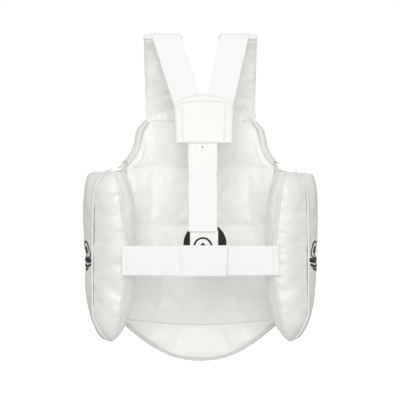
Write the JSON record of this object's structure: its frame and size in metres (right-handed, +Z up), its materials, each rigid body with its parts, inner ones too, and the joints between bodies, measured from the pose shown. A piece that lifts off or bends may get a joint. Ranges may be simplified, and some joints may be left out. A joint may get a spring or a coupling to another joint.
{
  "type": "chest protector",
  "caption": "Padded white vinyl chest protector with quilted front panel, puffy side wings, shoulder yokes, elastic harness with back plate, and hook-and-loop waist belt.",
  "frame": {"origin": "the wearer's torso axis, level with the middle of the protector's height", "axes": "+X to the wearer's right, +Y towards the front of the protector, +Z up; seen from behind the wearer, +X is to the right"},
  "size_m": [0.4088, 0.2378, 0.588],
  "materials": {
    "vinyl_cover": "satin",
    "vinyl_lining": "satin",
    "vinyl_piping": "satin",
    "foam": "matte",
    "white_elastic": "matte",
    "hook_and_loop": "matte",
    "woven_label": "satin",
    "black_print": "satin"
  },
  "bodies": {
    "trunk": {"front_cover": "vinyl_cover", "chest_foam": "foam", "middle_foam": "foam", "lower_foam": "foam", "lining": "vinyl_lining", "armhole_binding_left": "vinyl_piping", "armhole_binding_right": "vinyl_piping", "neck_binding": "vinyl_piping"},
    "apron": {"apron_cover": "vinyl_cover", "apron_foam": "foam", "apron_lining": "vinyl_lining", "apron_binding": "vinyl_piping"},
    "wing_left": {"wing_outer_cover_left": "vinyl_cover", "wing_inner_cover_left": "vinyl_cover", "wing_gusset_left": "vinyl_cover", "wing_foam_left": "foam", "wing_outer_piping_left": "vinyl_piping", "wing_inner_piping_left": "vinyl_piping", "side_emblem_left": "black_print"},
    "wing_right": {"wing_outer_cover_right": "vinyl_cover", "wing_inner_cover_right": "vinyl_cover", "wing_gusset_right": "vinyl_cover", "wing_foam_right": "foam", "wing_outer_piping_right": "vinyl_piping", "wing_inner_piping_right": "vinyl_piping", "side_emblem_right": "black_print"},
    "yokes": {"yoke_cover_left": "vinyl_cover", "yoke_foam_left": "foam", "yoke_lining_left": "vinyl_lining", "yoke_hem_left": "vinyl_cover", "yoke_cover_right": "vinyl_cover", "yoke_foam_right": "foam", "yoke_lining_right": "vinyl_lining", "yoke_hem_right": "vinyl_cover"},
    "harness": {"shoulder_strap_left": "white_elastic", "shoulder_strap_right": "white_elastic", "plate_cover": "vinyl_cover", "plate_stiffener": "foam", "plate_backing": "vinyl_cover"},
    "back_strap": {"back_strap_anchor": "vinyl_cover", "back_strap_elastic": "white_elastic", "size_label": "woven_label"},
    "belt_left": {"belt_elastic_left": "white_elastic"},
    "closure": {"closure_flap": "white_elastic", "hook_pad": "hook_and_loop"},
    "belt_right": {"belt_elastic_right": "white_elastic", "loop_pad": "hook_and_loop", "strap_tab": "vinyl_cover", "ring_mark": "black_print", "backing_disc": "black_print"}
  },
  "joints": [
    {"name": "apron_fold", "type": "hinge", "parent": "trunk", "child": "apron", "pos_m": [0, 0.145, -0.23], "axis": [1, 0, 0], "range_deg": [0, 25], "stiffness_Nm_per_rad": 2},
    {"name": "wing_left_swing", "type": "hinge", "parent": "trunk", "child": "wing_left", "pos_m": [-0.14886, 0.0919, 0], "axis": [0, 0, -1], "range_deg": [0, 45], "stiffness_Nm_per_rad": 1},
    {"name": "wing_right_swing", "type": "hinge", "parent": "trunk", "child": "wing_right", "pos_m": [0.14886, 0.0919, 0], "axis": [0, 0, 1], "range_deg": [0, 45], "stiffness_Nm_per_rad": 1},
    {"name": "belt_left_swing", "type": "hinge", "parent": "wing_left", "child": "belt_left", "pos_m": [-0.1275, -0.0915, -0.101], "axis": [0, 0, -1], "range_deg": [0, 60], "stiffness_Nm_per_rad": 0.05},
    {"name": "flap_peel", "type": "hinge", "parent": "belt_left", "child": "closure", "pos_m": [-0.036, -0.093, -0.101], "axis": [0, 0, -1], "range_deg": [0, 120]},
    {"name": "belt_right_swing", "type": "hinge", "parent": "wing_right", "child": "belt_right", "pos_m": [0.1275, -0.0861, -0.101], "axis": [0, 0, 1], "range_deg": [-45, 0]},
    {"name": "yoke_fold", "type": "hinge", "parent": "trunk", "child": "yokes", "pos_m": [0, 0.10984, 0.1472], "axis": [1, 0, 0], "range_deg": [-80, 0]},
    {"name": "harness_lift", "type": "hinge", "parent": "yokes", "child": "harness", "pos_m": [0, 0.007, 0.2875], "axis": [1, 0, 0], "range_deg": [-110, 0]},
    {"name": "back_strap_lift", "type": "hinge", "parent": "harness", "child": "back_strap", "pos_m": [0, -0.04623, 0.09554], "axis": [1, 0, 0], "range_deg": [-90, 0]}
  ],
  "couplings": [
    {"joint": "belt_right_swing", "follows": "wing_right_swing", "ratio": -1}
  ]
}
